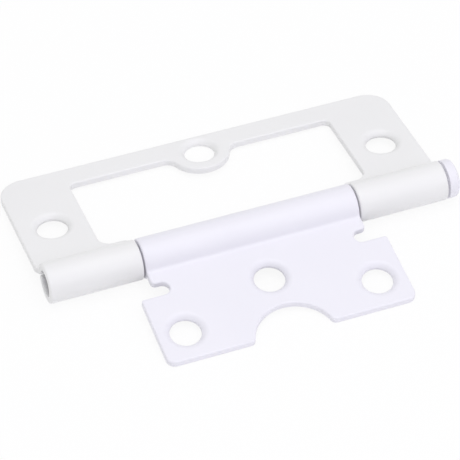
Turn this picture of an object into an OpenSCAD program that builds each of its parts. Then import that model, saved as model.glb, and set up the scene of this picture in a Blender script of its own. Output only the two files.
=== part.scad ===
// Flush hinge in pressed and rolled steel sheet, 75 mm long, lying open on its barrel.
// The frame leaf is cut out so that the centre leaf can close inside it, in one thickness of sheet.
// Both leaves are rolled round one pin at mid thickness, which is what lets them lie in one plane.
// X runs along the pin, Y towards the back of the frame leaf and Z out of its countersunk face.
// The origin is midway between the frame leaf's two end screw holes, on its seat face.

/* [Sheet and size] */
// Length of the frame leaf, along the pin
leaf_l = 75; // [68:0.5:90]
// Thickness of the steel sheet of both leaves
sheet_t = 1.25; // [1:0.05:1.5]
// Pin axis to the frame leaf's back edge
frame_reach = 28.8; // [27:0.1:36]

/* [Barrel] */
// Outside diameter of the rolled knuckles
barrel_d = 7.2; // [6.6:0.1:8]
// Length of each end knuckle
end_knuckle_l = 16.85; // [15:0.05:18.5]
// Gap between two knuckles
knuckle_gap = 0.3; // [0.2:0.05:0.6]
// How far each end knuckle stops short of the leaf's end
knuckle_inset = 0.5; // [0.2:0.1:1]
// Inside radius where the countersunk face turns up into the roll
bend_r = 0.8; // [0.4:0.1:1.3]
// Gap between the roll's free end and the underside of the bend
seam_w = 0.15; // [0.05:0.05:0.4]
// Rounding of the knuckles' outer end edges
knuckle_edge_r = 0.25; // [0.1:0.05:0.4]

/* [Pin] */
// Radial clearance between the pin and the knuckles' bore
pin_clearance = 0.05; // [0.02:0.01:0.1]
// Depth of the pin's plain end inside the left knuckle
pin_recess = 1.6; // [0.3:0.1:2.4]
// Chamfer round the pin's plain end
pin_chamfer = 0.3; // [0.1:0.05:0.6]
// Diameter of the pin's head
head_d = 7; // [5.8:0.1:7.1]
// Height of the pin's head at its middle
head_h = 2.7; // [2:0.1:3.2]
// Radius of the head's domed face
head_dome_r = 6; // [5:0.5:12]
// Rounding between the head's dome and its rim
head_edge_r = 0.6; // [0.3:0.1:0.8]
// Gap between the head and the right knuckle
head_gap = 0.4; // [0.1:0.05:0.5]

/* [Frame leaf] */
// Radius of the frame leaf's back corners
frame_corner_r = 4.5; // [2:0.5:6]
// Width of the two arms beside the window
arm_w = 12.5; // [11.5:0.5:14]
// Width of the bar behind the window
back_bar_w = 4.7; // [3.8:0.1:5.8]
// Radius of the window's back corners
window_corner_r = 1.2; // [0.5:0.1:2]
// Strip of leaf left behind each end knuckle, out from the barrel
root_strip_w = 1.8; // [1.4:0.1:2.2]
// Radius between an arm and its root strip
root_fillet_r = 2.2; // [1:0.1:3]
// Radius of the root strip's free corner
root_corner_r = 0.9; // [0.4:0.1:1.2]
// Length of the slanting corner between a leaf end and its knuckle
root_taper = 0.8; // [0.4:0.1:1.2]
// Radius of the lobe round the middle screw hole
lobe_r = 5.5; // [5:0.1:6]
// Radius where the lobe runs out into the back bar
lobe_flank_r = 2.2; // [1:0.1:4]

/* [Centre leaf] */
// Gap between the closed centre leaf and each arm
side_gap = 2.3; // [0.8:0.1:2.6]
// Gap between the closed centre leaf and the back bar
front_gap = 1; // [0.5:0.1:1.5]
// Radius of the centre leaf's front corners
centre_corner_r = 1.6; // [0.8:0.1:3]
// Radius of the centre leaf's shoulder corners
shoulder_r = 0.5; // [0.2:0.1:1]
// Gap between the lobe and the bay that clears it
bay_gap = 1.7; // [1:0.1:2.2]
// Radius at the bay's two mouth corners
bay_flank_r = 1; // [0.5:0.1:1.8]
// Tab of leaf between the barrel and the relief slots
relief_from_barrel = 2.7; // [2.2:0.1:3.2]
// Width of the relief slots that clear the root strips
relief_w = 2.6; // [2.4:0.1:3.6]
// Depth of the relief slots in from the centre knuckle's ends
relief_depth = 2.75; // [1.6:0.05:3.5]

/* [Screw holes] */
// Diameter of the clearance holes
hole_d = 5.5; // [4.5:0.1:5.8]
// Diameter of the countersinks at the face
csk_d = 7; // [6.6:0.1:7.4]
// Included angle of the countersinks
csk_angle = 90; // [82:1:100]
// End screw holes to the frame leaf's ends
frame_hole_inset = 6.2; // [5:0.1:7]
// Pin axis to the frame leaf's end screw holes
frame_hole_y = 14; // [11:0.5:18]
// Middle screw hole to the frame leaf's back edge
lobe_hole_inset = 4.3; // [3.8:0.1:5]
// End screw holes to the centre leaf's sides
centre_hole_inset = 5.1; // [4.5:0.1:6]
// End screw holes to the centre leaf's front edge
centre_hole_from_front = 5.9; // [5:0.1:8]
// Sheet left between the middle countersink of the centre leaf and the bay
bay_land = 2.8; // [1:0.1:4]

/* [Hidden] */
$fn = 96;
cut = 0.5; // how far a cutting shape runs past the face it opens
arc_straight = 0.3; // straight run of sheet between two arcs that curve opposite ways

paint_white = [0.93, 0.93, 0.93];
paint_cool_white = [0.93, 0.93, 0.96];

barrel_r = barrel_d / 2;
bore_r = barrel_r - sheet_t;
pin_r = bore_r - pin_clearance;
hole_r = hole_d / 2;
csk_depth = (csk_d - hole_d) / 2 / tan(csk_angle / 2);

// Where the flat sheet ends and its bend begins, and the angle at which the roll takes over
bend_y = sheet_t / 2 + bend_r;
roll_from_angle = asin(bend_y / norm([barrel_r + bend_r, arc_straight]))
    + atan(arc_straight / (barrel_r + bend_r));
bend_x = (barrel_r + bend_r) * cos(roll_from_angle) + arc_straight * sin(roll_from_angle);

// Places along the pin
leaf_end_x = leaf_l / 2;
knuckle_end_x = leaf_end_x - knuckle_inset;
end_knuckle_x = knuckle_end_x - end_knuckle_l;
centre_knuckle_x = end_knuckle_x - knuckle_gap;
head_x = knuckle_end_x + head_gap;
plain_end_x = -knuckle_end_x + pin_recess;
window_x = leaf_end_x - arm_w;
centre_leaf_x = window_x - side_gap;

// Distances out from the pin axis
window_y = frame_reach - back_bar_w;
root_y = barrel_r + root_strip_w;
lobe_y = frame_reach - lobe_hole_inset;
centre_reach = window_y - front_gap;
relief_y = barrel_r + relief_from_barrel;
bay_r = lobe_r + bay_gap;
centre_mid_hole_y = lobe_y - bay_r - bay_land - csk_d / 2;

// Lying on a table, the hinge touches it with the barrel and with the lower edge of each leaf.
function droop(reach) =
    asin(barrel_r / norm([reach, sheet_t / 2])) - atan(sheet_t / 2 / reach);
rest_droop = droop(frame_reach) + droop(centre_reach);

frame_end_holes = [for (side = [-1, 1]) [side * (leaf_end_x - frame_hole_inset), frame_hole_y]];
frame_holes = concat(frame_end_holes, [[0, lobe_y]]);
centre_end_holes = [for (side = [-1, 1])
    [side * (centre_leaf_x - centre_hole_inset), centre_reach - centre_hole_from_front]];
centre_holes = concat(centre_end_holes, [[0, centre_mid_hole_y]]);

// Moves what is modelled round the pin axis into the part's own frame.
module from_pin_axis() {
    translate([0, -frame_hole_y, sheet_t / 2]) children();
}

module both_ends() {
    for (side = [0, 1]) mirror([side, 0, 0]) children();
}

// The area between a square corner and the arc that rounds it: cut off outside, filled in inside.
module corner(r) {
    difference() {
        translate([-cut, -cut]) square(r + cut);
        translate([r, r]) circle(r = r);
    }
}

function flip(p) = [-p[0], p[1]];

// A disc that runs out into a straight edge at edge_y. On either side a short straight leaves the
// disc at a tangent and leads into a flank arc, which is tangent to the edge.
module disc_on_edge(r, centre_y, flank_r, edge_y) {
    arcs_r = r + flank_r;
    turn = asin((edge_y - flank_r - centre_y) / norm([arcs_r, arc_straight]))
        - atan(arc_straight / arcs_r);
    out = [cos(turn), sin(turn)];
    leaves = [0, centre_y] + r * out;
    meets = leaves + arc_straight * [-out[1], out[0]];
    flank = meets + flank_r * out;
    far_y = max(edge_y, centre_y) + cut;
    translate([0, centre_y]) circle(r = r);
    difference() {
        polygon([[0, centre_y - r / 2], leaves, meets, flank, [flank[0], far_y],
            [-flank[0], far_y], flip(flank), flip(meets), flip(leaves)]);
        both_ends() translate(flank) circle(r = flank_r);
    }
}

// Section of a rolled knuckle across the pin, leaf towards +X here and countersunk face up. The
// sheet bends up off the leaf, then rolls over and round the pin until its end meets its underside.
module roll_section() {
    bend = [bend_x, bend_y];
    bend_out_r = bend_r + sheet_t;
    out = [cos(roll_from_angle), sin(roll_from_angle)];
    down = arc_straight * [out[1], -out[0]];
    free_end_angle = atan(bend_y / bend_x) - acos((pow(barrel_r, 2) + pow(bend_x, 2) + pow(bend_y, 2)
        - pow(bend_out_r + seam_w, 2)) / (2 * barrel_r * norm(bend)));
    difference() {
        union() {
            circle(r = barrel_r);
            difference() {
                polygon([[(barrel_r + bore_r) / 2, -sheet_t / 2], barrel_r * out, barrel_r * out + down,
                    bend, [bend_x, sheet_t / 2], [bend_x + cut, sheet_t / 2], [bend_x + cut, -sheet_t / 2]]);
                translate(bend) circle(r = bend_r);
            }
        }
        circle(r = bore_r);
        difference() {
            polygon([[0, 0], bore_r * out, bore_r * out + down, bend, [bend_x, bend_x * tan(free_end_angle)]]);
            translate(bend) circle(r = bend_out_r);
        }
    }
}

// Ring of material taken off a knuckle's outer edge at x = 0, away from where the leaf joins.
module edge_rounding() {
    difference() {
        rotate([0, 90, 0]) rotate_extrude()
            translate([barrel_r, 0]) mirror([1, 0]) corner(knuckle_edge_r);
        translate([-barrel_r, bore_r, -barrel_r]) cube(2 * barrel_r);
    }
}

// Sheet rolled round the pin from one place along it to another.
module roll(from_x, to_x) {
    translate([from_x, 0, 0]) rotate([90, 0, 90]) linear_extrude(height = to_x - from_x) roll_section();
}

module knuckle_rounding(from_x, to_x) {
    translate([from_x, 0, 0]) edge_rounding();
    translate([to_x, 0, 0]) mirror([1, 0, 0]) edge_rounding();
}

// What the frame leaf's blank lacks at its end, beside the knuckle and along its slanting corner.
module end_taper() {
    polygon([[knuckle_end_x, -barrel_d], [leaf_end_x + cut, -barrel_d],
        [leaf_end_x + cut, barrel_r + root_taper], [leaf_end_x, barrel_r + root_taper],
        [knuckle_end_x, barrel_r]]);
}

// Countersunk clearance hole, cut from the countersunk face down.
module screw_hole() {
    translate([0, 0, -sheet_t]) cylinder(r = hole_r, h = 2 * sheet_t);
    translate([0, 0, sheet_t / 2 - csk_depth])
        cylinder(r1 = hole_r, r2 = hole_r + 2 * csk_depth * tan(csk_angle / 2), h = 2 * csk_depth);
}

// Flat sheet of a leaf from its outline, with its screw holes.
module leaf_plate(holes) {
    difference() {
        translate([0, 0, -sheet_t / 2]) linear_extrude(height = sheet_t) children();
        for (place = holes) translate([place[0], place[1], 0]) screw_hole();
    }
}

// The window, open to the front between the end knuckles, with the lobe left standing in it.
module window_outline() {
    window_depth = window_y - root_y;
    difference() {
        union() {
            translate([-window_x, root_y]) square([2 * window_x, window_depth]);
            translate([-end_knuckle_x, 0]) square([2 * end_knuckle_x, root_y + cut]);
            both_ends() translate([end_knuckle_x, root_y]) mirror([0, 1])
                corner(root_corner_r);
        }
        both_ends() {
            translate([window_x, window_y]) mirror([1, 0]) mirror([0, 1]) corner(window_corner_r);
            translate([window_x, root_y]) mirror([1, 0]) corner(root_fillet_r);
        }
        disc_on_edge(lobe_r, lobe_y, lobe_flank_r, window_y);
    }
}

module frame_outline() {
    difference() {
        translate([-leaf_end_x, bend_x]) square([leaf_l, frame_reach - bend_x]);
        both_ends() {
            translate([leaf_end_x, frame_reach]) mirror([1, 0]) mirror([0, 1])
                corner(frame_corner_r);
            end_taper();
        }
        window_outline();
    }
}

module centre_outline() {
    relief_end_r = relief_w / 2;
    difference() {
        union() {
            translate([-centre_knuckle_x, bend_x])
                square([2 * centre_knuckle_x, relief_y + relief_w - bend_x + cut]);
            translate([-centre_leaf_x, relief_y + relief_w])
                square([2 * centre_leaf_x, centre_reach - relief_y - relief_w]);
        }
        both_ends() {
            translate([centre_knuckle_x - relief_depth + relief_end_r, relief_y + relief_end_r]) {
                circle(r = relief_end_r);
                translate([0, -relief_end_r]) square([centre_leaf_x, relief_w]);
            }
            translate([centre_leaf_x, relief_y + relief_w]) mirror([1, 0]) corner(shoulder_r);
            translate([centre_leaf_x, centre_reach]) mirror([1, 0]) mirror([0, 1])
                corner(centre_corner_r);
        }
        disc_on_edge(bay_r, lobe_y, bay_flank_r, centre_reach);
    }
}

// Pressed frame with a window, carrying the two end knuckles.
module frame_leaf() {
    color(paint_white) from_pin_axis() {
        leaf_plate(frame_holes) frame_outline();
        both_ends() difference() {
            roll(end_knuckle_x, leaf_end_x);
            knuckle_rounding(end_knuckle_x, knuckle_end_x);
            translate([0, 0, -barrel_d]) linear_extrude(height = 2 * barrel_d) end_taper();
        }
    }
}

// Leaf on the centre knuckle, hanging past flat until its front edge meets the table.
module centre_leaf() {
    color(paint_cool_white) from_pin_axis() rotate([rest_droop, 0, 0]) mirror([0, 1, 0]) {
        leaf_plate(centre_holes) centre_outline();
        difference() {
            roll(-centre_knuckle_x, centre_knuckle_x);
            knuckle_rounding(-centre_knuckle_x, centre_knuckle_x);
        }
    }
}

// Half section of the pin's head, from its underside up: rim, rounding and dome.
module head_section() {
    head_r = head_d / 2;
    dome_y = head_h - head_dome_r;
    edge_x = head_r - head_edge_r;
    edge_y = dome_y + sqrt(pow(head_dome_r - head_edge_r, 2) - pow(edge_x, 2));
    square([head_r, edge_y]);
    intersection() {
        translate([edge_x, edge_y]) circle(r = head_edge_r);
        square(head_d);
    }
    intersection() {
        translate([0, dome_y]) circle(r = head_dome_r);
        polygon([[0, 0], [edge_x, 0], [edge_x, edge_y],
            [2 * edge_x, 2 * edge_y - dome_y], [0, 2 * edge_y - dome_y]]);
    }
}

// Turned pin: plain end sunk in the left knuckle, domed head outside the right one.
module hinge_pin() {
    color(paint_cool_white) from_pin_axis() rotate([0, 90, 0]) rotate_extrude() {
        polygon([[0, plain_end_x], [pin_r - pin_chamfer, plain_end_x], [pin_r, plain_end_x + pin_chamfer],
            [pin_r, head_x + head_h / 2], [0, head_x + head_h / 2]]);
        translate([0, head_x]) head_section();
    }
}

frame_leaf();
centre_leaf();
hinge_pin();
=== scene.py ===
# %% [markdown]
# # A flush hinge in painted steel sheet
# A flush hinge is two pieces of steel sheet and a pin. The frame leaf is a plate with a window, and
# the centre leaf is cut from about the area of that window, so both close into one thickness of sheet.
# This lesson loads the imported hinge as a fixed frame, then makes each leaf again the way a press shop
# does: the flat blank first, with its soft stamped edges, and then the tabs rolled round the pin.

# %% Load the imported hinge
import math

import bmesh
import bpy
from mathutils import Matrix, Vector


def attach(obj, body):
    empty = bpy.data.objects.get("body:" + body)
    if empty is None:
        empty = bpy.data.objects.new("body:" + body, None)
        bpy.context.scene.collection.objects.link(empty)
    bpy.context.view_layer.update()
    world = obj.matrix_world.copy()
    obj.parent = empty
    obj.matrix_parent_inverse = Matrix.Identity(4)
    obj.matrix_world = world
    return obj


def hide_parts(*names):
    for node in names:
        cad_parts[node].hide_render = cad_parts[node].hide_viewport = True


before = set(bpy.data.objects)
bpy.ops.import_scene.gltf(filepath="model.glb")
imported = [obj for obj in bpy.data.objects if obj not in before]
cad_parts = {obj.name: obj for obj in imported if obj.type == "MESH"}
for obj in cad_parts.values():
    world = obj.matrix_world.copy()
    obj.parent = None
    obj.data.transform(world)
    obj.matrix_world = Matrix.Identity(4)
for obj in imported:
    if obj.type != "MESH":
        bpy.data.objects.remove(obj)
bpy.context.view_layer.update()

# %% [markdown]
# ## Sizes
# All sizes are in millimetres, as on a drawing, and are turned into metres when a mesh is finished.
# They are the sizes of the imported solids, apart from the soft edges and a few rounder corners. X runs
# along the pin, and "out" is the distance from the pin axis along a leaf.

# %% Sizes of the sheet, the barrel and the pin
MM = 0.001
SHEET_T = 1.25
BARREL_R = 3.6
BORE_R = BARREL_R - SHEET_T
BEND_R = 0.8
SEAM_W = 0.15
ARC_STRAIGHT = 0.3
LEAF_END_X = 37.5
KNUCKLE_INSET = 0.5
END_KNUCKLE_L = 16.85
KNUCKLE_GAP = 0.3
KNUCKLE_END_X = LEAF_END_X - KNUCKLE_INSET
END_KNUCKLE_X = KNUCKLE_END_X - END_KNUCKLE_L
CENTRE_KNUCKLE_X = END_KNUCKLE_X - KNUCKLE_GAP
PIN_CLEARANCE = 0.05
HEAD_GAP = 0.4
PLAIN_END_SUNK = 1.6
PIN_R = BORE_R - PIN_CLEARANCE
HEAD_X = KNUCKLE_END_X + HEAD_GAP
PLAIN_END_X = -KNUCKLE_END_X + PLAIN_END_SUNK
print("barrel", 2 * BARREL_R, "mm across, bore", round(2 * BORE_R, 2), "mm, pin", round(2 * PIN_R, 2), "mm")

# %% Sizes of the two leaves, out from the pin axis
FRAME_REACH = 28.8
ARM_W = 12.5
BACK_BAR_W = 4.7
STRIP_W = 1.8
WINDOW_X = LEAF_END_X - ARM_W
WINDOW_OUT = FRAME_REACH - BACK_BAR_W
ROOT_OUT = BARREL_R + STRIP_W
LOBE_FROM_BACK = 4.3
LOBE_OUT = FRAME_REACH - LOBE_FROM_BACK
LOBE_R = 5.5
BAY_ROOM = 1.7
FRONT_ROOM = 1.0
SIDE_ROOM = 2.3
BAY_R = LOBE_R + BAY_ROOM
CENTRE_REACH = WINDOW_OUT - FRONT_ROOM
CENTRE_X = WINDOW_X - SIDE_ROOM
LIP_W = 2.7
RELIEF_W = 2.6
RELIEF_DEPTH = 2.75
RELIEF_OUT = BARREL_R + LIP_W
RELIEF_END_X = CENTRE_KNUCKLE_X - RELIEF_DEPTH + RELIEF_W / 2
print("centre leaf closes with", round(WINDOW_X - CENTRE_X, 2), "mm to spare on each side")

# %% Sizes and places of the screw holes
HOLE_R = 2.75
COUNTERSINK_R = 3.5
FRAME_HOLE_X = 31.3
FRAME_HOLE_OUT = 14.0
HOLE_FROM_SIDE = 5.1
HOLE_FROM_FRONT = 5.9
HOLE_FROM_BAY = 2.8
CENTRE_HOLE_X = CENTRE_X - HOLE_FROM_SIDE
CENTRE_HOLE_OUT = CENTRE_REACH - HOLE_FROM_FRONT
MID_HOLE_OUT = LOBE_OUT - BAY_R - HOLE_FROM_BAY - COUNTERSINK_R
print("centre leaf's side holes", round(2 * CENTRE_HOLE_X, 2), "mm apart; the middle one",
      round(MID_HOLE_OUT, 2), "mm out")

# %% [markdown]
# ## How the sheet bends
# A knuckle is not a tube welded on: it is the leaf's own tab. The tab bends up off the leaf, then rolls
# over and round the pin until its end meets its underside. I could cut a cylinder into the plate with
# booleans, but the sheet would lose its even thickness. So one function says where a point of the flat
# blank goes: flat, then the small bend, a short straight and the long roll.

# %% The path of the sheet's middle layer
MID_BEND_R = BEND_R + SHEET_T / 2
MID_ROLL_R = BORE_R + SHEET_T / 2
ARCS_R = BARREL_R + BEND_R
BEND_UP = SHEET_T / 2 + BEND_R
ROLL_FROM = math.asin(BEND_UP / math.hypot(ARCS_R, ARC_STRAIGHT)) + math.atan(ARC_STRAIGHT / ARCS_R)
BEND_OUT = ARCS_R * math.cos(ROLL_FROM) + ARC_STRAIGHT * math.sin(ROLL_FROM)
BEND_TURN = math.pi / 2 - ROLL_FROM
FREE_END = math.atan2(BEND_UP, BEND_OUT) - math.acos(
    (BARREL_R ** 2 + BEND_OUT ** 2 + BEND_UP ** 2 - (BEND_R + SHEET_T + SEAM_W) ** 2)
    / (2 * BARREL_R * math.hypot(BEND_OUT, BEND_UP)))
ROLL_TURN = 2 * math.pi + FREE_END - ROLL_FROM
BEND_L = MID_BEND_R * BEND_TURN
ROLL_L = MID_ROLL_R * ROLL_TURN
TAB_END_OUT = BEND_OUT - BEND_L - ARC_STRAIGHT - ROLL_L


def rolled(out, up):
    """Where a point of the flat blank lies once its tab is rolled: (out from the pin, up)."""
    along = BEND_OUT - out
    if along <= 0:
        return out, up
    if along <= BEND_L:
        turn, r = along / MID_BEND_R, MID_BEND_R - up
        return BEND_OUT - r * math.sin(turn), BEND_UP - r * math.cos(turn)
    along -= BEND_L
    if along <= ARC_STRAIGHT:
        left, r = ARC_STRAIGHT - along, MID_ROLL_R + up
        return (r * math.cos(ROLL_FROM) + left * math.sin(ROLL_FROM),
                r * math.sin(ROLL_FROM) - left * math.cos(ROLL_FROM))
    turn, r = ROLL_FROM + (along - ARC_STRAIGHT) / MID_ROLL_R, MID_ROLL_R + up
    return r * math.cos(turn), r * math.sin(turn)


print("a tab is", round(BEND_OUT - TAB_END_OUT, 2), "mm long before it is rolled",
      round(math.degrees(ROLL_TURN)), "degrees round the pin")

# %% [markdown]
# ## Outlines
# A blank's outline is straight lines and arcs. Each corner is given with its radius, and a helper puts
# the arc in. An arc gets a point every few degrees, so that a close view still shows a curve.

# %% Arcs and rounded corners
ARC_STEP = math.radians(5)


def arc(centre, r, start, end):
    """Points of an arc, from one angle to the other in radians."""
    steps = max(2, math.ceil(abs(end - start) / ARC_STEP))
    turns = [start + (end - start) * i / steps for i in range(steps + 1)]
    return [Vector((centre[0] + r * math.cos(a), centre[1] + r * math.sin(a))) for a in turns]


def rounded(corners):
    """A chain of points from (x, out, radius) corners. The first and the last stay as they are."""
    chain = [Vector(corners[0][:2])]
    for before, here, after in zip(corners, corners[1:], corners[2:]):
        p, r = Vector(here[:2]), here[2]
        to_before, to_after = (Vector(before[:2]) - p).normalized(), (Vector(after[:2]) - p).normalized()
        half = to_before.angle(to_after) / 2
        if r == 0:
            chain.append(p)
            continue
        middle = p + (to_before + to_after).normalized() * r / math.sin(half)
        first = p + to_before * r / math.tan(half) - middle
        last = p + to_after * r / math.tan(half) - middle
        start = math.atan2(first.y, first.x)
        sweep = (math.atan2(last.y, last.x) - start + math.pi) % (2 * math.pi) - math.pi
        chain += arc(middle, r, start, start + sweep)
    return chain + [Vector(corners[-1][:2])]


def disc_to_edge(r, flank_r, edge_out):
    """Half a lobe or bay: from the edge through its flank arc and a short straight round the disc."""
    both_r = r + flank_r
    turn = (math.asin((edge_out - flank_r - LOBE_OUT) / math.hypot(both_r, ARC_STRAIGHT))
            - math.atan(ARC_STRAIGHT / both_r))
    aim = Vector((math.cos(turn), math.sin(turn)))
    flank = Vector((0, LOBE_OUT)) + both_r * aim + ARC_STRAIGHT * Vector((-aim.y, aim.x))
    return (arc(flank, flank_r, math.pi / 2, math.pi + turn)
            + arc((0, LOBE_OUT), r, turn, -math.pi / 2))


def both_halves(half):
    """A closed outline from its right half, whose first and last points are on the middle line."""
    return half + [Vector((-p.x, p.y)) for p in reversed(half[1:-1])]


print("a quarter turn takes", len(arc((0, 0), 1, 0, math.pi / 2)), "points")

# %% [markdown]
# ## A blank with soft edges
# A stamped edge is never a perfect corner: the punch drags one side round, and paint rounds both. A
# bevel modifier could do it, but here the edge is built as rings of points, each a little further in
# and down, so the round is even and every countersink comes with it. A pressed countersink is soft at
# its mouth too: the face curves into the cone. The lobe's hole lies close to the back edge, so its mouth
# is a little tighter. The two flat faces are filled between the outermost ring and the rings of the holes.

# %% Rings round an outline and round a hole
SOFT_TOP = 0.32
SOFT_BACK = 0.12
SOFT_THROAT = 0.12
EDGE_STEPS = 4
SOFT_RIM = 0.6
LOBE_RIM = 0.4
RIM_STEPS = 6


def quarter(r, from_flat):
    """(in from the wall, down from the face) points of a rounded edge, from the face to the wall."""
    turns = [math.pi / 2 * i / EDGE_STEPS for i in range(EDGE_STEPS + 1)]
    points = [(r * (1 - math.sin(a)), r * (1 - math.cos(a))) for a in turns]
    return points if from_flat else points[::-1]


def inset(loop, distance):
    """A closed outline moved into the material, with a mitre at each point."""
    area = sum(a.x * b.y - b.x * a.y for a, b in zip(loop, loop[1:] + loop[:1]))
    side = 1 if area > 0 else -1
    moved = []
    for before, here, after in zip(loop[-1:] + loop[:-1], loop, loop[1:] + loop[:1]):
        a, b = (here - before).normalized(), (after - here).normalized()
        m, n = side * Vector((-a.y, a.x)), side * Vector((-b.y, b.x))
        moved.append(here + (m + n) * distance / (1 + m.dot(n)))
    return moved


def rim_rings(loop):
    """Rings of (x, out, up) down the edge of a blank, from its countersunk face to its back."""
    half = SHEET_T / 2
    steps = [(d, half - w) for d, w in quarter(SOFT_TOP, True)]
    steps += [(d, w - half) for d, w in quarter(SOFT_BACK, False)]
    return [[(p.x, p.y, up) for p in inset(loop, d)] for d, up in steps]


def hole_rings(x, out, rim):
    """Rings down a countersunk screw hole. The cone is a 90 degree one, as deep as it is wide, and rim
    is how far its round mouth reaches past the cone's edge."""
    half = SHEET_T / 2
    cone = COUNTERSINK_R - HOLE_R
    mouth_r = rim / math.tan(math.pi / 8)
    turns = [math.pi / 4 * i / RIM_STEPS for i in range(RIM_STEPS + 1)]
    steps = [(COUNTERSINK_R + rim - mouth_r * math.sin(a), half - mouth_r * (1 - math.cos(a)))
             for a in turns]
    steps += [(HOLE_R + 0.3 * SOFT_THROAT, half - cone + 0.2 * SOFT_THROAT),
              (HOLE_R, half - cone - 0.4 * SOFT_THROAT), (HOLE_R, SOFT_BACK - half),
              (HOLE_R + 0.3 * SOFT_BACK, 0.3 * SOFT_BACK - half), (HOLE_R + SOFT_BACK, -half)]
    count = round(2 * math.pi / ARC_STEP)
    turns = [2 * math.pi * i / count for i in range(count)]
    return [[(x + r * math.cos(a), out + r * math.sin(a), up) for a in turns] for r, up in steps]


print("a screw hole is built of", len(hole_rings(0, 0, SOFT_RIM)), "rings")

# %% [markdown]
# ## From blank to leaf
# The faces between rings are quads, and the two flat faces are filled with triangles. Then the tab is
# cut across in narrow strips, because a face can only bend where it has edges. Last, every point goes
# where the roll takes it, and into the hinge's own frame.

# %% Build the flat blank and cut its tab into strips
BEND_STEP = math.radians(6)
ROLL_STEP = math.radians(4)


def ring_edges(bm, row):
    """The edges round one ring of vertices."""
    return [bm.edges.get((v, row[(i + 1) % len(row)])) for i, v in enumerate(row)]


def add_rings(bm, rings):
    """Quads down a stack of rings. Returns the edges of the first and of the last ring."""
    rows = [[bm.verts.new(p) for p in ring] for ring in rings]
    for upper, lower in zip(rows, rows[1:]):
        for i, v in enumerate(upper):
            j = (i + 1) % len(upper)
            bm.faces.new((v, upper[j], lower[j], lower[i]))
    return ring_edges(bm, rows[0]), ring_edges(bm, rows[-1])


def strip_lines():
    """Distances out at which the tab is cut across, in the flat blank."""
    bends = math.ceil(BEND_TURN / BEND_STEP)
    rolls = math.ceil(ROLL_TURN / ROLL_STEP)
    lines = [BEND_OUT - BEND_L * i / bends for i in range(bends + 1)]
    roll_out = BEND_OUT - BEND_L - ARC_STRAIGHT
    return lines + [roll_out - ROLL_L * i / rolls for i in range(rolls)]


def blank(outline, holes):
    """The flat blank as a closed bmesh, in millimetres."""
    bm = bmesh.new()
    top, back = add_rings(bm, rim_rings(outline))
    for x, out, rim in holes:
        hole_top, hole_back = add_rings(bm, hole_rings(x, out, rim))
        top, back = top + hole_top, back + hole_back
    for edges in (top, back):
        bmesh.ops.triangle_fill(bm, edges=edges, use_beauty=True)
    for out in strip_lines():
        geometry = bm.verts[:] + bm.edges[:] + bm.faces[:]
        bmesh.ops.bisect_plane(bm, geom=geometry, dist=1e-4, plane_co=(0, out, 0), plane_no=(0, 1, 0))
    return bm


print("each tab is cut across", len(strip_lines()), "times")

# %% Roll the tab and make the object
def leaf(name, outline, holes, into_frame):
    """A finished leaf from its outline. into_frame puts a millimetre point into the hinge's frame."""
    bm = blank(outline, holes)
    for v in bm.verts:
        out, up = rolled(v.co.y, v.co.z)
        v.co = into_frame(Vector((v.co.x, out, up))) * MM
    bmesh.ops.recalc_face_normals(bm, faces=bm.faces)
    open_edges = sum(1 for e in bm.edges if len(e.link_faces) != 2)
    print(name, len(bm.faces), "faces,", open_edges, "open edges, volume",
          round(bm.calc_volume() * 1e9, 1), "cubic mm")
    return finished(name, bm)


def finished(name, bm):
    """A smooth-shaded object. Weighted normals keep the big flats flat beside their soft edges."""
    mesh = bpy.data.meshes.new(name)
    bm.to_mesh(mesh)
    bm.free()
    mesh.shade_smooth()
    piece = bpy.data.objects.new(name, mesh)
    bpy.context.scene.collection.objects.link(piece)
    weighted = piece.modifiers.new("flat faces stay flat", "WEIGHTED_NORMAL")
    weighted.weight = 100
    return piece


# %% [markdown]
# ## The frame leaf
# Its window is open to the front between the end knuckles. A lobe in the middle of the back bar carries
# the third screw hole, and two narrow strips behind the end knuckles tie them to the arms. The corner
# beside each end knuckle slants in, because the tab is a little narrower than the leaf is long.

# %% Make the frame leaf
BACK_CORNER_R = 4.5
SLANT_RISE = 0.8
SLANT_TOP_R = 0.4
SLANT_FOOT_R = 0.3
TAB_CORNER_R = 0.4
ROOT_R = 0.9
WINDOW_FRONT_R = 2.2
WINDOW_BACK_R = 1.2
LOBE_FLANK_R = 2.2

frame_half = rounded([
    (0, FRAME_REACH), (LEAF_END_X, FRAME_REACH, BACK_CORNER_R),
    (LEAF_END_X, BARREL_R + SLANT_RISE, SLANT_TOP_R), (KNUCKLE_END_X, BARREL_R, SLANT_FOOT_R),
    (KNUCKLE_END_X, TAB_END_OUT, TAB_CORNER_R), (END_KNUCKLE_X, TAB_END_OUT, TAB_CORNER_R),
    (END_KNUCKLE_X, ROOT_OUT, ROOT_R), (WINDOW_X, ROOT_OUT, WINDOW_FRONT_R),
    (WINDOW_X, WINDOW_OUT, WINDOW_BACK_R), (LOBE_R, WINDOW_OUT)])
frame_outline = both_halves(frame_half[:-1] + disc_to_edge(LOBE_R, LOBE_FLANK_R, WINDOW_OUT))
frame_holes = [(-FRAME_HOLE_X, FRAME_HOLE_OUT, SOFT_RIM), (FRAME_HOLE_X, FRAME_HOLE_OUT, SOFT_RIM),
               (0, LOBE_OUT, LOBE_RIM)]


def into_frame_leaf(p):
    """The frame leaf lies in the hinge's own frame, with its seat face at height 0."""
    return Vector((p.x, p.y - FRAME_HOLE_OUT, p.z + SHEET_T / 2))


frame_leaf = leaf("frame_leaf_sheet", frame_outline, frame_holes, into_frame_leaf)

# %% [markdown]
# ## The centre leaf
# It hangs from the same pin on one long knuckle. The bay in its front edge clears the lobe, and the two
# round-ended slots clear the strips of the frame leaf. On a table the barrel lifts the hinge's middle,
# so both leaves slope down to their edges, and the centre leaf is turned past flat by that angle.

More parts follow.
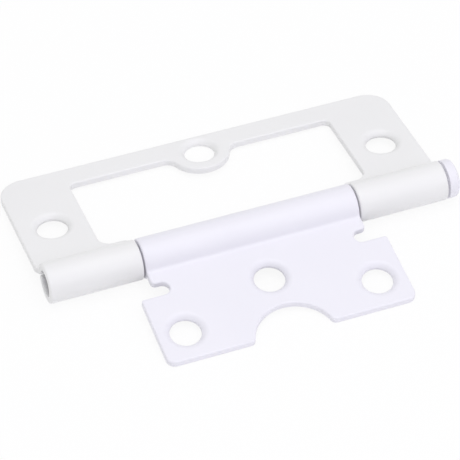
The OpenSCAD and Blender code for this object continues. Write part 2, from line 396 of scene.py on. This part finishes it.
# %% How far the leaves slope
def droop(reach):
    """Slope of a leaf that rests on the barrel and on its own lower edge."""
    return (math.asin(BARREL_R / math.hypot(reach, SHEET_T / 2)) - math.atan(SHEET_T / 2 / reach))


FRAME_DROOP = droop(FRAME_REACH)
REST_TURN = FRAME_DROOP + droop(CENTRE_REACH)
print("the leaves slope", round(math.degrees(REST_TURN), 2), "degrees to each other")

# %% Make the centre leaf
BAY_FLANK_R = 1.0
FRONT_CORNER_R = 1.6
MOUTH_R = 0.5
LIP_R = 0.8

bay_half = disc_to_edge(BAY_R, BAY_FLANK_R, CENTRE_REACH)[::-1]
relief_mid = RELIEF_OUT + RELIEF_W / 2
side_half = rounded([
    (bay_half[-1].x, CENTRE_REACH), (CENTRE_X, CENTRE_REACH, FRONT_CORNER_R),
    (CENTRE_X, RELIEF_OUT + RELIEF_W, MOUTH_R), (RELIEF_END_X, RELIEF_OUT + RELIEF_W)])
slot_end = arc((RELIEF_END_X, relief_mid), RELIEF_W / 2, math.pi / 2, 3 * math.pi / 2)
tab_half = rounded([
    (RELIEF_END_X, RELIEF_OUT), (CENTRE_KNUCKLE_X, RELIEF_OUT, LIP_R),
    (CENTRE_KNUCKLE_X, TAB_END_OUT, TAB_CORNER_R), (0, TAB_END_OUT)])
centre_outline = both_halves(bay_half + side_half[1:-1] + slot_end + tab_half[1:])
centre_holes = [(-CENTRE_HOLE_X, CENTRE_HOLE_OUT, SOFT_RIM), (CENTRE_HOLE_X, CENTRE_HOLE_OUT, SOFT_RIM),
                (0, MID_HOLE_OUT, SOFT_RIM)]


def into_centre_leaf(p):
    """Turned round the pin axis to the other side, and down to the table."""
    c, s = math.cos(REST_TURN), math.sin(REST_TURN)
    return Vector((p.x, -p.y * c - p.z * s - FRAME_HOLE_OUT, -p.y * s + p.z * c + SHEET_T / 2))


centre_leaf = leaf("centre_leaf_sheet", centre_outline, centre_holes, into_centre_leaf)

# %% [markdown]
# ## The pin
# A pin is turned on a lathe, so its mesh is a profile spun round its axis. Only its head and a glimpse of
# its plain end show, but the shank fills the knuckles as the real one does. The plain end is chamfered,
# and the chamfer's own corners are taken off by a few hundredths of a millimetre.

# %% Spin the pin from its profile
HEAD_R = 3.5
HEAD_H = 2.7
DOME_R = 6.0
RIM_R = 0.6
CHAMFER = 0.3
UNDER_R = 0.15
PIN_SIDES = 96


def pin_profile():
    """(along X, radius) points from the middle of the plain end to the middle of the dome."""
    dome_x = HEAD_X + HEAD_H - DOME_R
    rim_x = dome_x + math.sqrt((DOME_R - RIM_R) ** 2 - (HEAD_R - RIM_R) ** 2)
    meet = math.atan2(rim_x - dome_x, HEAD_R - RIM_R)
    points = [(PLAIN_END_X, 0), (PLAIN_END_X, 1.0), (PLAIN_END_X, PIN_R - CHAMFER - 0.05),
              (PLAIN_END_X + 0.03, PIN_R - CHAMFER), (PLAIN_END_X + CHAMFER, PIN_R - 0.02),
              (PLAIN_END_X + CHAMFER + 0.06, PIN_R), (0, PIN_R), (HEAD_X, PIN_R)]
    under = arc((HEAD_R - UNDER_R, HEAD_X + UNDER_R), UNDER_R, -math.pi / 2, 0)
    rim = arc((HEAD_R - RIM_R, rim_x), RIM_R, 0, meet)
    dome = arc((0, dome_x), DOME_R, meet, math.pi / 2)
    return points + [(p.y, p.x) for p in under + rim + dome[1:-1]] + [(HEAD_X + HEAD_H, 0)]


def spun(profile):
    """A closed bmesh from a profile whose two ends lie on the axis."""
    bm = bmesh.new()
    turns = [2 * math.pi * i / PIN_SIDES for i in range(PIN_SIDES)]
    rings = [[bm.verts.new((x, r * math.cos(a), r * math.sin(a))) for a in turns]
             for x, r in profile[1:-1]]
    first, last = bm.verts.new((profile[0][0], 0, 0)), bm.verts.new((profile[-1][0], 0, 0))
    for i in range(PIN_SIDES):
        j = (i + 1) % PIN_SIDES
        for one, two in zip(rings, rings[1:]):
            bm.faces.new((one[i], one[j], two[j], two[i]))
        bm.faces.new((first, rings[0][j], rings[0][i]))
        bm.faces.new((last, rings[-1][i], rings[-1][j]))
    return bm


pin_mesh = spun(pin_profile())
for v in pin_mesh.verts:
    v.co = Vector((v.co.x, v.co.y - FRAME_HOLE_OUT, v.co.z + SHEET_T / 2)) * MM
bmesh.ops.recalc_face_normals(pin_mesh, faces=pin_mesh.faces)
hinge_pin = finished("hinge_pin_turned", pin_mesh)
print("pin from", round(PLAIN_END_X, 2), "to", round(HEAD_X + HEAD_H, 2), "mm")

# %% [markdown]
# ## White paint on steel
# The hinge has a baked, semi-gloss white paint. Such paint has an IOR of about 1.5 and a roughness of
# about 0.35, and nothing of the steel shows through. What gives it away as paint is its skin: very low
# waves a millimetre or so across, a faint grain between them, and a tone that drifts a little where the
# film is thicker or thinner. The grain is drawn a few times coarser than the real one, so that it shows.
# The centre leaf and the pin get a copy of the same white with a cool tint painted in: it stands for the
# front softbox's cool light on the surfaces that face it.

# %% Colour helper
def linear(hex_colour):
    """sRGB hex to the linear colour that shaders work in."""
    parts = [int(hex_colour[i:i + 2], 16) / 255 for i in (1, 3, 5)]
    return tuple(c / 12.92 if c <= 0.04045 else ((c + 0.055) / 1.055) ** 2.4 for c in parts) + (1,)


print("the grey #808080 is", round(linear("#808080")[0], 3), "in linear light")


# %% Node helper and the paint's real sizes
def node(tree, kind, settings=None, **inputs):
    """Adds a node, sets its properties, and sets or links its inputs by name."""
    made = tree.nodes.new(kind)
    for key, value in (settings or {}).items():
        setattr(made, key, value)
    for key, value in inputs.items():
        socket = made.inputs[key.replace("_", " ")]
        if isinstance(value, bpy.types.NodeSocket):
            tree.links.new(value, socket)
        else:
            socket.default_value = value
    return made


WAVE_MM, WAVE_HEIGHT = 1.6, 0.03
GRAIN_MM, GRAIN_HEIGHT = 0.35, 0.006
DRIFT_MM = 14.0
print("paint: waves", WAVE_MM, "mm, grain", GRAIN_MM, "mm and drift", DRIFT_MM, "mm across")

# %% The paint
# A dull grey painted into the deep inside of the roll: painted shade.
PAINTED_SHADE_GREY = "#868588"
GLOSS_SPREAD = 0.04


def baked_paint(name, thick, thin, roughness, darkened=None):
    """Semi-gloss baked paint: thick and thin are the colours of a fuller and a leaner film. Where the mask
    made by the last argument rises to 1, a dull grey is painted in instead: painted shade."""
    material = bpy.data.materials.new(name)
    material.use_nodes = True
    tree = material.node_tree
    tree.nodes.clear()
    place = node(tree, "ShaderNodeTexCoord").outputs["Object"]
    drift = node(tree, "ShaderNodeTexNoise", Vector=place, Scale=1 / (DRIFT_MM * MM), Detail=2.0)
    tone = node(tree, "ShaderNodeMix", {"data_type": "RGBA"}, Factor=drift.outputs["Fac"])
    tone.inputs[6].default_value, tone.inputs[7].default_value = linear(thin), linear(thick)
    waves = node(tree, "ShaderNodeTexNoise", Vector=place, Scale=1 / (WAVE_MM * MM), Detail=1.0)
    grain = node(tree, "ShaderNodeTexNoise", Vector=place, Scale=1 / (GRAIN_MM * MM), Detail=1.0)
    skin = node(tree, "ShaderNodeBump", Strength=0.25, Distance=WAVE_HEIGHT * MM, Height=waves.outputs["Fac"])
    skin = node(tree, "ShaderNodeBump", Strength=0.2, Distance=GRAIN_HEIGHT * MM,
                Height=grain.outputs["Fac"], Normal=skin.outputs["Normal"])
    gloss = node(tree, "ShaderNodeMapRange", Value=grain.outputs["Fac"],
                 To_Min=roughness - GLOSS_SPREAD, To_Max=roughness + GLOSS_SPREAD)
    film = tone.outputs[2]
    # Painted shade: where the mask rises, the film's colour gives way to a dull grey.
    if darkened:
        mixed = node(tree, "ShaderNodeMix", {"data_type": "RGBA"}, Factor=darkened(tree, place))
        tree.links.new(film, mixed.inputs[6])
        mixed.inputs[7].default_value = linear(PAINTED_SHADE_GREY)
        film = mixed.outputs[2]
    shader = node(tree, "ShaderNodeBsdfPrincipled", Base_Color=film,
                  Roughness=gloss.outputs["Result"], IOR=1.5, Normal=skin.outputs["Normal"])
    node(tree, "ShaderNodeOutputMaterial", Surface=shader.outputs["BSDF"])
    return material


# %% [markdown]
# ## Painted shade inside the roll
# Little light gets into a roll, so the inner wall of the end knuckles is painted a dull grey a short
# way in, and their open ends look dark: the grey is painted shade. I could cut those faces off and give
# them a material of their own, but a mask by place also gives the fade: it rises to 1 with the distance
# in from the end, on what lies close to the bore. No gloss shows in that shade, so a plain grey is enough.

# %% Mask for the inside of the roll
FADE_STARTS = 0.2
FADE_ENDS = 1.4
WALL_MARGIN = 0.05


def painted_shade_in_roll(tree, place):
    """1 on the roll's inner wall deeper than the fade, where shade is painted in; 0 everywhere else."""
    spot = node(tree, "ShaderNodeSeparateXYZ", Vector=place)
    along = node(tree, "ShaderNodeMath", {"operation": "ABSOLUTE"})
    tree.links.new(spot.outputs["X"], along.inputs[0])
    depth = node(tree, "ShaderNodeMapRange", Value=along.outputs[0],
                 From_Min=(KNUCKLE_END_X - FADE_ENDS) * MM, From_Max=(KNUCKLE_END_X - FADE_STARTS) * MM,
                 To_Min=1.0, To_Max=0.0)
    across = node(tree, "ShaderNodeCombineXYZ", Y=spot.outputs["Y"], Z=spot.outputs["Z"])
    from_pin = node(tree, "ShaderNodeVectorMath", {"operation": "DISTANCE"})
    tree.links.new(across.outputs[0], from_pin.inputs[0])
    from_pin.inputs[1].default_value = (0, -FRAME_HOLE_OUT * MM, SHEET_T / 2 * MM)
    wall = node(tree, "ShaderNodeMapRange", Value=from_pin.outputs["Value"],
                From_Min=(BORE_R + WALL_MARGIN) * MM, From_Max=(BORE_R + 3 * WALL_MARGIN) * MM,
                To_Min=1.0, To_Max=0.0)
    both = node(tree, "ShaderNodeMath", {"operation": "MULTIPLY"})
    tree.links.new(depth.outputs["Result"], both.inputs[0])
    tree.links.new(wall.outputs["Result"], both.inputs[1])
    return both.outputs[0]


print("bare steel from", FADE_STARTS, "to", FADE_ENDS, "mm in")

# %% The three paints
# The frame leaf's paint has shade painted a short way into its end knuckles.
leaf_white_and_bore_shade = baked_paint("white baked paint on steel sheet", "#F1F1F1", "#EDEDED", 0.38, painted_shade_in_roll)
# The same white with the front light's cool tint painted in, for the centre leaf and the pin.
white_with_painted_cool_light = baked_paint("cool white baked paint on steel sheet", "#F1F0F7", "#EDECF4", 0.38)
pin_white_with_painted_cool_light = baked_paint("cool white baked paint on turned steel", "#F1F0F7", "#EDECF4", 0.34)
print("paints", [paint.name for paint in (leaf_white_and_bore_shade, white_with_painted_cool_light, pin_white_with_painted_cool_light)])

# %% [markdown]
# ## Dressing the hinge
# Each new piece stands for its solid, moves with the same body and gets the paint of the solid's finish
# slots. The hidden solids get the paint too, so nothing is left without a finish.

# %% Attach the pieces
for piece, solid, body, slot, paint in (
        (frame_leaf, "frame_leaf", "frame", "frame_leaf_paint", leaf_white_and_bore_shade),
        (centre_leaf, "centre_leaf", "centre", "centre_leaf_paint", white_with_painted_cool_light),
        (hinge_pin, "hinge_pin", "frame", "pin_paint", pin_white_with_painted_cool_light)):
    piece.data.materials.append(paint)
    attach(piece, body)
    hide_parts(solid)
    for material_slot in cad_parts[solid].material_slots:
        material_slot.material = paint
print("dressed", [o.name for o in (frame_leaf, centre_leaf, hinge_pin)])

# %% [markdown]
# ## The table
# The hinge's frame is level with the frame leaf, and the table is not: it touches the barrel and the
# lower edges of both leaves. So the floor is a plane tipped by the frame leaf's slope, one barrel
# radius below the pin. To the camera, in reflections and through clear things, nine tenths of it is
# white light, as on a lit studio table. The last tenth is the board itself, and keeps the shadow.

# %% Lay the table
FLOOR_SIZE = 3.0
floor_normal = Vector((0, -math.sin(FRAME_DROOP), math.cos(FRAME_DROOP)))
pin_axis = Vector((0, -FRAME_HOLE_OUT, SHEET_T / 2)) * MM
bpy.ops.mesh.primitive_plane_add(size=FLOOR_SIZE, location=pin_axis - floor_normal * BARREL_R * MM)
floor = bpy.context.object
floor.name = "table"
floor.rotation_euler = (FRAME_DROOP, 0, 0)
print("the table is tipped", round(math.degrees(FRAME_DROOP), 2), "degrees")

# %% The table's white
GLOW_SHARE = 0.9
table_white = bpy.data.materials.new("matt white studio board")
table_white.use_nodes = True
tree = table_white.node_tree
tree.nodes.clear()
board = node(tree, "ShaderNodeBsdfPrincipled", Base_Color=linear("#F8F8F8"), Roughness=0.9)
glow = node(tree, "ShaderNodeEmission", Color=(1, 1, 1, 1), Strength=1.0)
rays = node(tree, "ShaderNodeLightPath")
seen = rays.outputs["Is Camera Ray"]
for kind in ("Is Glossy Ray", "Is Transmission Ray"):
    either = node(tree, "ShaderNodeMath", {"operation": "MAXIMUM"})
    tree.links.new(seen, either.inputs[0])
    tree.links.new(rays.outputs[kind], either.inputs[1])
    seen = either.outputs[0]
share = node(tree, "ShaderNodeMath", {"operation": "MULTIPLY"})
tree.links.new(seen, share.inputs[0])
share.inputs[1].default_value = GLOW_SHARE
both = node(tree, "ShaderNodeMixShader", Fac=share.outputs[0])
tree.links.new(board.outputs["BSDF"], both.inputs[1])
tree.links.new(glow.outputs["Emission"], both.inputs[2])
node(tree, "ShaderNodeOutputMaterial", Surface=both.outputs["Shader"])
floor.data.materials.append(table_white)
print("table material", table_white.name)

# %% The world
WORLD_LIGHT = 0.67
world = bpy.data.worlds.new("studio")
bpy.context.scene.world = world
world.use_nodes = True
world.node_tree.nodes["Background"].inputs["Color"].default_value = (1, 1, 1, 1)
world.node_tree.nodes["Background"].inputs["Strength"].default_value = WORLD_LIGHT
print("even light from all round", WORLD_LIGHT)

# %% [markdown]
# ## Light
# White paint on a white table needs light from nearly everywhere, or its walls go grey. The even world
# gives two thirds of it. A softbox above lights the flats, and a wider, slightly cool one in front lights
# the walls of the sheet, the front of the barrel and the far side of each countersink. The backs of the
# barrel and of the edges stay a little darker, and neither lamp throws a hard shadow.

# %% Softboxes
def softbox(name, place, size, watts, colour=(1, 1, 1)):
    """A square area light that looks at the hinge."""
    lamp = bpy.data.lights.new(name, "AREA")
    lamp.size = size
    lamp.energy = watts
    lamp.color = colour
    made = bpy.data.objects.new(name, lamp)
    made.location = place
    made.rotation_euler = (-Vector(place)).to_track_quat("-Z", "Y").to_euler()
    bpy.context.scene.collection.objects.link(made)
    return made


lamps = [softbox("top softbox", (0.0, -0.1, 0.8), 0.6, 1.65),
         softbox("front softbox", (0.2, -0.6, 0.6), 0.8, 1.8, (0.87, 0.84, 1.0))]
print("lamps", [(lamp.name, round(lamp.location.length, 2)) for lamp in lamps], "metres away")

# %% [markdown]
# ## Camera
# The place and lens come from the hinge's own edges: with these, the straight ones fall within about a
# pixel of where the photograph has them.
# It is a long lens from the front left, 39 degrees above the hinge, turned a little clockwise.

# %% Place the camera
LENS_MM = 197.73
SENSOR_MM = 36.0
camera_data = bpy.data.cameras.new("camera")
camera_data.lens = LENS_MM
camera_data.sensor_width = SENSOR_MM
camera = bpy.data.objects.new("camera", camera_data)
right = Vector((0.93610488, -0.35012883, -0.03342841))
down = Vector((-0.24448102, -0.57941305, -0.77750212))
ahead = Vector((0.25285705, 0.73599614, -0.62799123))
turned = Matrix((right, -down, -ahead)).transposed().to_4x4()
camera.matrix_world = Matrix.Translation(Vector((-114.32, -337.573, 277.914)) * MM) @ turned
camera_data.clip_start = 0.01
bpy.context.scene.collection.objects.link(camera)
bpy.context.scene.camera = camera
bpy.context.scene.view_settings.view_transform = "Standard"
print("camera", [round(v, 4) for v in camera.location])
